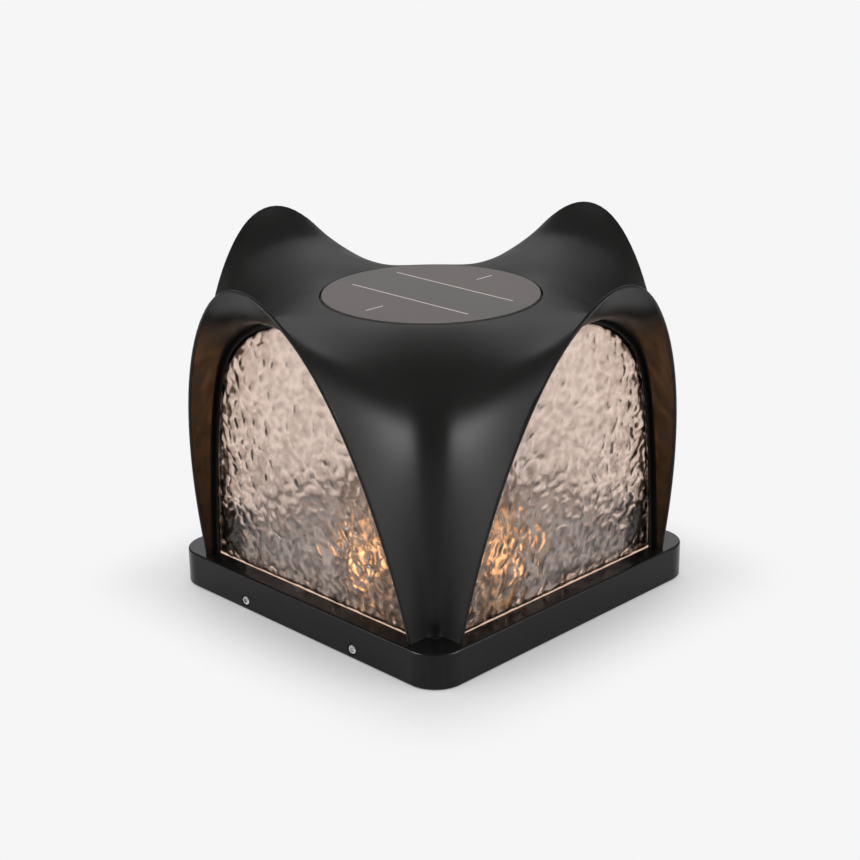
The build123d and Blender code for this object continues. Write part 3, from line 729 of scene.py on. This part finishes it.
def steel_finish(name, rough=(0.18, 0.3)):
    """Turned steel with fine scratches."""
    return grained_material(name, settings("finish").steel, (0.8, 0.8, 0.78), grain=5200.0, bump=0.08,
                            gloss=rough, Metallic=1.0)


def dress(material, *nodes):
    """Gives CAD nodes a finish."""
    for name in nodes:
        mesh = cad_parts[name].data
        mesh.materials.clear()
        mesh.materials.append(material)


# Operators, one for each piece or group

class POSTCAP_OT_canopy(Operator):
    """Builds the coated canopy as one smooth wall with a rounded rim."""

    bl_idname = "post_cap.canopy"
    bl_label = "Canopy"

    def execute(self, context):
        form = settings("canopy")
        made = sheet_grid(form.columns, form.rows)
        around, t = grid_places(made)
        move_all(made, canopy_face(2 * pi * around, t))
        bmesh.ops.remove_doubles(made, verts=made.verts, dist=1e-6)
        bmesh.ops.recalc_face_normals(made, faces=made.faces)
        made.normal_update()
        upper = max(made.faces, key=lambda face: abs(face.normal.z))
        if upper.normal.z < 0:
            bmesh.ops.reverse_faces(made, faces=made.faces)
        bmesh.ops.solidify(made, geom=made.faces, thickness=form.wall)
        made.normal_update()
        edges = sharp_edges(made)
        deck = [edge for edge in edges if hypot(*edge.verts[0].co.xy) < 1.2 * form.deck_radius]
        round_edges(made, [edge for edge in edges if edge not in deck], form.rim_round, 4)
        round_edges(made, [edge for edge in deck if edge.is_valid], form.deck_round, 2)
        everything = made.verts[:] + made.edges[:] + made.faces[:]
        cut = bmesh.ops.bisect_plane(made, geom=everything, dist=1e-7, plane_co=(0, 0, COLLAR_TOP),
                                     plane_no=(0, 0, 1), clear_inner=True)
        edges = [part for part in cut["geom_cut"] if isinstance(part, bmesh.types.BMEdge)]
        bmesh.ops.holes_fill(made, edges=edges, sides=0)
        bmesh.ops.recalc_face_normals(made, faces=made.faces)
        piece = finish_piece("canopy", made, canopy_finish())
        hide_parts("canopy_shell")
        return {"FINISHED"}


class POSTCAP_OT_canopy_inside(Operator):
    """Builds the disc's well and the screw bosses, which the canopy's casting carries inside."""

    bl_idname = "post_cap.canopy_inside"
    bl_label = "Well and bosses"

    def execute(self, context):
        form = settings("canopy")
        inside = settings("inside")
        coat = bpy.data.materials["canopy coat"]
        finish_piece("disc_well", self.well(form, inside), coat)
        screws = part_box("canopy_screws")[1].x - LEG_SCREW_HALF
        places = [polar(hypot(screws, screws), pi / 4 + k * pi / 2) for k in range(4)]
        bosses = self.bosses(places, inside.leg_boss, COLLAR_TOP, inside.leg_boss_height, inside.rounding)
        finish_piece("leg_bosses", bosses, coat)
        tray_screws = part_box("tray_screws")[1].x - TRAY_SCREW_HALF
        places = [polar(tray_screws, k * pi / 2) for k in range(4)]
        bosses = self.bosses(places, inside.tray_boss, TRAY_HIGH.z,
                             SEAL_LOW.z - inside.ledge_thickness - TRAY_HIGH.z, inside.rounding)
        finish_piece("tray_bosses", bosses, coat)
        return {"FINISHED"}

    def well(self, form, inside):
        """A ring under the deck, with a ledge for the disc's seal."""
        outer = form.deck_radius + inside.well_wall
        inner = form.deck_radius - inside.well_overlap
        ledge_inner = TRAY_HIGH.x - inside.well_wall - inside.ledge_width
        under = SEAL_LOW.z - inside.ledge_thickness
        shoulder = form.deck_height - inside.well_overlap
        outline = (
            (inner, TRAY_HIGH.z), (outer, TRAY_HIGH.z), (outer, shoulder), (form.deck_radius, shoulder),
            (form.deck_radius, SEAL_LOW.z), (ledge_inner, SEAL_LOW.z), (ledge_inner, under), (inner, under),
        )
        made = bmesh.new()
        loop = [made.verts.new((radius, 0.0, height)) for radius, height in outline]
        edges = [made.edges.new((a, b)) for a, b in zip(loop, loop[1:] + loop[:1])]
        bmesh.ops.spin(made, geom=loop + edges, axis=(0, 0, 1), cent=(0, 0, 0), angle=2 * pi, steps=96,
                       use_merge=True)
        bmesh.ops.recalc_face_normals(made, faces=made.faces)
        round_edges(made, sharp_edges(made), inside.rounding, 2)
        return made

    def bosses(self, places, width, foot, height, rounding):
        """Upright round bosses at some places."""
        made = bmesh.new()
        for place in places:
            middle = Matrix.Translation(place + Vector((0, 0, foot + height / 2)))
            bmesh.ops.create_cone(made, cap_ends=True, segments=32, radius1=width / 2, radius2=width / 2,
                                  depth=height, matrix=middle)
        round_edges(made, sharp_edges(made), rounding, 2)
        return made


class POSTCAP_OT_panes(Operator):
    """Builds the four rippled panes."""

    bl_idname = "post_cap.panes"
    bl_label = "Rippled panes"

    def execute(self, context):
        form = settings("panes")
        noise.seed_set(form.seed)
        glass = glass_finish()
        foot = PANE_LOW.z
        middle = (PANE_LOW.x + PANE_HIGH.x) / 2
        slopes = np.linspace(0.0, pi / 2, 91)
        arch = arch_radius(middle, form.edge_depth, foot, slopes)
        for number, (side, angle) in enumerate(SIDES.items()):
            made = sheet_grid(form.columns, form.rows)
            across, up = grid_places(made)
            across = 2 * across - 1
            size = np.maximum(np.abs(across), up)
            slope = np.arctan2(up, np.abs(across))
            reach = size * np.interp(slope, slopes, arch)
            spread = np.sign(across) * reach * np.cos(slope)
            height = foot + reach * np.sin(slope)
            move_all(made, np.stack([np.full(size.shape, PANE_HIGH.x), spread, height], -1))
            bmesh.ops.recalc_face_normals(made, faces=made.faces)
            # Painted shadow along the seam, and painted shade that grows towards the collar
            clear = np.clip((1 - size) / form.seam - 1, 0, 1)
            low = (1 - (height - foot) / arch[-1]) ** 2
            self.ripple(made, form, number, clear, low)
            bmesh.ops.rotate(made, verts=made.verts, cent=(0, 0, 0), matrix=side_turn(angle))
            piece = finish_piece("pane_" + side, made, glass, 70.0)
            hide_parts("glass_" + side)
        return {"FINISHED"}

    def ripple(self, made, form, number, clear, low):
        """Gives the sheet its thickness, waves both of its faces, and notes its painted light and shade. The
        seam is painted dark as the shadow of the gasket's lips, and the troughs are painted darkest low
        down, over the collar.
        """
        tone = made.verts.layers.float.new("tone")
        fronts = list(made.verts)
        depth = PANE_HIGH.x - PANE_LOW.x
        copy = bmesh.ops.duplicate(made, geom=made.verts[:] + made.edges[:] + made.faces[:])
        backs = [copy["vert_map"][vertex] for vertex in fronts]
        rims = [edge for edge in made.edges if edge.is_boundary]
        bmesh.ops.translate(made, verts=backs, vec=(-depth, 0.0, 0.0))
        bmesh.ops.bridge_loops(made, edges=rims)
        for face, verts in enumerate((fronts, backs)):
            outward = 1 - 2 * face
            for vertex, outside_seam_shadow, deep in zip(verts, clear, low):
                height, sunk = self.wave(vertex.co, form, number * 2 + face)
                vertex.co.x -= outward * sunk
                # Painted light on the crests and painted shade in the troughs
                painted_ripple_light = min(max(MIDDLE_PAINTED_SHADE - (form.tone + form.painted_shade_low * deep) * height, 0.0), 1.0)
                darkest_painted_shade = PAINTED_TROUGH_SHADE + (LOW_PAINTED_TROUGH_SHADE - PAINTED_TROUGH_SHADE) * deep
                vertex[tone] = outside_seam_shadow * (darkest_painted_shade + (1 - darkest_painted_shade) * painted_ripple_light)
        bmesh.ops.recalc_face_normals(made, faces=made.faces)

    def wave(self, place, form, number):
        """How far a place lies in a trough, from about -1 to 1, and its depth under the crests."""
        layer = number * FACE_STEP
        spot = Vector((layer, place.y / form.ripple_width, place.z / form.ripple_width))
        bend = noise.noise_vector(spot * BEND_PACE) * BEND_REACH
        slow = Vector((layer + SWELL_STEP, place.y / form.swell_width, place.z / form.swell_width))
        height = noise.noise(spot + bend)
        return height, form.ripple * (0.5 + 0.5 * height) + form.swell * (0.5 + 0.5 * noise.noise(slow))


class POSTCAP_OT_gaskets(Operator):
    """Builds the rubber channels round the arched edges of the panes."""

    bl_idname = "post_cap.gaskets"
    bl_label = "Gaskets"

    def execute(self, context):
        form = settings("gaskets")
        rubber = rubber_finish("gasket rubber")
        wall = settings("canopy").wall
        section = self.section(form, wall)
        sides = len(section)
        for side, angle in SIDES.items():
            made = sheet_grid(form.steps, sides)
            along, round_ = grid_places(made)
            pick = np.rint(round_ * sides).astype(int) % sides
            slope = pi * along
            half = np.minimum(slope, pi - slope)
            radius = arch_radius(section[pick, 0], section[pick, 1], COLLAR_TOP, half)
            move_all(made, np.stack([section[pick, 0], radius * np.cos(slope),
                                     COLLAR_TOP + radius * np.sin(slope)], -1))
            bmesh.ops.remove_doubles(made, verts=made.verts, dist=1e-7)
            ends = [edge for edge in made.edges if edge.is_boundary]
            bmesh.ops.holes_fill(made, edges=ends, sides=0)
            bmesh.ops.recalc_face_normals(made, faces=made.faces)
            bmesh.ops.rotate(made, verts=made.verts, cent=(0, 0, 0), matrix=side_turn(angle))
            piece = finish_piece("gasket_bead_" + side, made, rubber, 50.0)
            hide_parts("gasket_" + side)
        return {"FINISHED"}

    def section(self, form, wall):
        """The channel's outline, as distance from the axis and depth under the canopy's outer face."""
        back = wall + form.gap
        lip = back + form.wall + form.grip
        slot = back + form.wall - form.slot
        corner = form.rounding
        bend = corner * (1 - cos(pi / 4))

        def half(edge, inward, pane):
            """One side of the channel, from its back round the lip to the pane's slot."""
            return [
                (edge + inward * corner, back), (edge + inward * bend, back + bend), (edge, back + corner),
                (edge, lip - corner), (edge + inward * bend, lip - bend), (edge + inward * corner, lip),
                (pane, lip), (pane, slot),
            ]

        near = half(GASKET_HIGH.x, -1, PANE_HIGH.x + form.slot)
        far = half(GASKET_LOW.x, 1, PANE_LOW.x - form.slot)
        return np.array(near + far[::-1])


class POSTCAP_OT_collar(Operator):
    """Finishes the collar, its set screws and the canopy's screws."""

    bl_idname = "post_cap.collar"
    bl_label = "Collar and screws"

    def execute(self, context):
        dress(collar_finish(), "base_collar")
        dress(steel_finish("stainless steel"), "set_screw_front_left", "set_screw_front_right",
              "set_screw_rear_left", "set_screw_rear_right")
        dress(steel_finish("zinc plate", (0.3, 0.42)), "canopy_screws", "tray_screws", "tube_screws",
              "board_screws", "drum_screws")
        return {"FINISHED"}


class POSTCAP_OT_solar(Operator):
    """Finishes the solar disc, its ribbons, its seal and the tray under it."""

    bl_idname = "post_cap.solar"
    bl_label = "Solar disc"

    def execute(self, context):
        tint = settings("finish")
        dress(solar_finish(), "solar_disc")
        ribbon = grained_material("ribbon", tint.ribbon, grain=4000.0, bump=0.05, gloss=(0.35, 0.5))
        dress(ribbon, "cell_ribbons")
        dress(rubber_finish("seal rubber"), "solar_seal", "cap_seal", "solar_lead")
        tray = grained_material("tray plastic", (0.012, 0.012, 0.012), grain=900.0, gloss=(0.45, 0.55))
        dress(tray, "solar_tray")
        return {"FINISHED"}


class POSTCAP_OT_lamp(Operator):
    """Finishes the frosted drum and what is under it."""

    bl_idname = "post_cap.lamp"
    bl_label = "Lamp inside"

    def execute(self, context):
        dress(drum_finish(), "light_drum")
        plain = {
            "tube plastic": ((0.72, 0.7, 0.65), ("battery_tube",)),
            "board varnish": ((0.7, 0.7, 0.66), ("light_board",)),
            "diode resin": ((0.8, 0.55, 0.12), ("led_chips",)),
            "cell wrap": ((0.03, 0.1, 0.25), ("battery",)),
            "cap plastic": ((0.02, 0.02, 0.02), ("battery_cap",)),
            "button rubber": ((0.12, 0.12, 0.12), ("power_button",)),
            "housing plastic": ((0.015, 0.015, 0.015), ("power_switch", "board_connector")),
        }
        for name, (tint, nodes) in plain.items():
            # Paler tint for edges: rubbed wear and a painted sheen
            rubbed_and_sheen = tuple(min(1.0, 1.3 * c + 0.02) for c in tint)
            dress(grained_material(name, tint, rubbed_and_sheen, grain=1400.0, bump=0.1, gloss=(0.35, 0.5)), *nodes)
        brass = grained_material("brass", (0.7, 0.5, 0.2), grain=4200.0, bump=0.06, gloss=(0.2, 0.32),
                                 Metallic=1.0)
        dress(brass, "board_spacers", "top_contact", "cap_contact")
        return {"FINISHED"}


class POSTCAP_OT_stage(Operator):
    """Sets the floor, the light and the camera."""

    bl_idname = "post_cap.stage"
    bl_label = "Stage"

    def execute(self, context):
        stage = settings("stage")
        self.floor(stage)
        self.world(stage)
        self.glow(stage)
        self.camera(stage)
        context.scene.view_settings.view_transform = "Standard"
        return {"FINISHED"}

    def floor(self, stage):
        """A pale floor that keeps the light's soft shadow."""
        made = bmesh.new()
        bmesh.ops.create_grid(made, x_segments=2, y_segments=2, size=stage.floor_half)
        bmesh.ops.translate(made, verts=made.verts, vec=(0, 0, COLLAR_LOW.z - FLOOR_GAP))
        mesh = bpy.data.meshes.new("floor")
        made.to_mesh(mesh)
        made.free()
        material, tree, shader = base_material("pale floor", Base_Color=opaque(settings("finish").floor),
                                               Roughness=0.9, Specular_IOR_Level=0.0)
        self.pale_backdrop(tree, shader, stage)
        mesh.materials.append(material)
        floor = bpy.data.objects.new("floor", mesh)
        bpy.context.scene.collection.objects.link(floor)

    def pale_backdrop(self, tree, shader, stage):
        """Lets the floor show its own colour more and more, the further it lies from the collar."""
        spot = vector_maths(tree, "ABSOLUTE", object_place(tree))
        beyond = vector_maths(tree, "SUBTRACT", spot, (BASE_HALF, BASE_HALF, 1.0))
        distance = vector_maths(tree, "LENGTH", vector_maths(tree, "MAXIMUM", beyond, (0.0, 0.0, 0.0)))
        away = ramp(tree, distance, 0.0, stage.shadow_reach, low=stage.shadow_lift, kind="SMOOTHSTEP")
        path = add_node(tree, "ShaderNodeLightPath")
        seen = path.outputs["Is Camera Ray"]
        for ray in ("Is Glossy Ray", "Is Transmission Ray"):
            seen = maths(tree, "MAXIMUM", seen, path.outputs[ray])
        shown = maths(tree, "MULTIPLY", seen, away)
        pale = add_node(tree, "ShaderNodeEmission", Color=opaque(settings("finish").floor))
        surface = mixed_shader(tree, shown, shader.outputs["BSDF"], pale.outputs[0])
        feed(tree, surface, tree.nodes["Material Output"].inputs["Surface"])

    def world(self, stage):
        """A pale dome that lights from above, and a dark room with soft lights in what gloss reflects."""
        world = bpy.data.worlds.new("studio")
        world.use_nodes = True
        bpy.context.scene.world = world
        tree = world.node_tree
        way = add_node(tree, "ShaderNodeTexCoord").outputs["Generated"]
        dome = tree.nodes["Background"]
        dome.inputs["Color"].default_value = (1.0, 1.0, 1.0, 1.0)
        overhead = maths(tree, "MAXIMUM", axes(tree, way)["Z"], 0.0)
        feed(tree, maths(tree, "MULTIPLY", overhead, stage.dome), dome.inputs["Strength"])
        backdrop = add_node(tree, "ShaderNodeBackground", Color=opaque(settings("finish").floor))
        room = add_node(tree, "ShaderNodeBackground", Color=(1.0, 1.0, 1.0, 1.0))
        feed(tree, self.room_level(tree, way, stage), room.inputs["Strength"])
        path = add_node(tree, "ShaderNodeLightPath")
        through = path.outputs["Is Transmission Ray"]
        mirrored = maths(tree, "SUBTRACT", path.outputs["Is Glossy Ray"], through, clamp=True)
        seen = maths(tree, "ADD", path.outputs["Is Camera Ray"], through, clamp=True)
        plain = mixed_shader(tree, seen, dome.outputs[0], backdrop.outputs[0])
        surface = mixed_shader(tree, mirrored, plain, room.outputs[0])
        feed(tree, surface, tree.nodes["World Output"].inputs["Surface"])

    def room_level(self, tree, way, stage):
        """Brightness of the room by direction: two key lights beside the camera and a wide one behind."""
        key = stage.key_spread, stage.key_rise, stage.key_reach, stage.key_level
        behind = stage.back_spread, stage.back_rise, stage.back_reach, stage.back_level
        lights = (
            (stage.azimuth - stage.key_turn, *key),
            (stage.azimuth + stage.key_turn, *key),
            (stage.azimuth + pi, *behind),
        )
        height = axes(tree, way)["Z"]
        compass = vector_maths(tree, "NORMALIZE", vector_maths(tree, "MULTIPLY", way, (1.0, 1.0, 0.0)))
        total = stage.room
        for azimuth, spread, rise, reach, level in lights:
            aim = vector_maths(tree, "DOT_PRODUCT", compass, (sin(azimuth), -cos(azimuth), 0.0))
            beside = ramp(tree, aim, cos(spread), 1.0, kind="SMOOTHERSTEP")
            off = maths(tree, "ABSOLUTE", maths(tree, "SUBTRACT", height, rise))
            above = ramp(tree, off, reach, 0.0, high=level, kind="SMOOTHERSTEP")
            total = maths(tree, "MULTIPLY_ADD", beside, above, total)
        return total

    def glow(self, stage):
        """A small warm lamp whose light, broken up by the panes, reaches only the canopy."""
        lamp = bpy.data.lights.new("inner_glow", "POINT")
        lamp.energy = stage.glow_power
        lamp.color = settings("finish").amber
        lamp.shadow_soft_size = stage.glow_size
        glow = bpy.data.objects.new("inner_glow", lamp)
        glow.location = (0, 0, stage.glow_height)
        bpy.context.scene.collection.objects.link(glow)
        lit = bpy.data.collections.new("lit by the inner glow")
        lit.objects.link(bpy.data.objects["canopy"])
        glow.light_linking.receiver_collection = lit

    def camera(self, stage):
        """A camera at the photograph's place."""
        azimuth, elevation = stage.azimuth, stage.elevation
        back = Vector((sin(azimuth) * cos(elevation), -cos(azimuth) * cos(elevation), sin(elevation)))
        level = Vector((cos(azimuth), sin(azimuth), 0.0))
        rise = back.cross(level)
        right = level * cos(stage.roll) + rise * sin(stage.roll)
        up = rise * cos(stage.roll) - level * sin(stage.roll)
        place = Vector((0, 0, stage.aim_height)) + back * stage.distance + right * stage.aim_side
        view = bpy.data.cameras.new("camera")
        view.lens = stage.lens
        view.sensor_width = 36.0
        view.clip_end = 50.0
        camera = bpy.data.objects.new("camera", view)
        bpy.context.scene.collection.objects.link(camera)
        camera.matrix_world = Matrix.Translation(place) @ Matrix((right, up, back)).transposed().to_4x4()
        bpy.context.scene.camera = camera


class POSTCAP_PT_panel(Panel):
    """Lists the steps and the sizes of the light."""

    bl_idname = "POSTCAP_PT_panel"
    bl_label = "Post cap light"
    bl_space_type = "VIEW_3D"
    bl_region_type = "UI"
    bl_category = "Post cap"

    def draw(self, context):
        for step in STEPS:
            self.layout.operator(step.bl_idname)
        for name, kind in GROUPS.items():
            box = self.layout.box()
            box.label(text=kind.__doc__)
            for key in kind.__annotations__:
                box.prop(getattr(context.scene, name), key)


STEPS = (
    POSTCAP_OT_canopy, POSTCAP_OT_canopy_inside, POSTCAP_OT_panes, POSTCAP_OT_gaskets, POSTCAP_OT_collar,
    POSTCAP_OT_solar, POSTCAP_OT_lamp, POSTCAP_OT_stage,
)
CLASSES = (*GROUPS.values(), *STEPS, POSTCAP_PT_panel)


def register():
    """Makes the sizes, the steps and the panel known."""
    for kind in CLASSES:
        bpy.utils.register_class(kind)
    for name, kind in GROUPS.items():
        setattr(bpy.types.Scene, name, PointerProperty(type=kind))


def unregister():
    """Takes them away again."""
    for name in GROUPS:
        delattr(bpy.types.Scene, name)
    for kind in reversed(CLASSES):
        bpy.utils.unregister_class(kind)


def main():
    """Runs every step in order."""
    register()
    for step in STEPS:
        group, name = step.bl_idname.split(".")
        getattr(getattr(bpy.ops, group), name)()


if __name__ == "__main__":
    main()
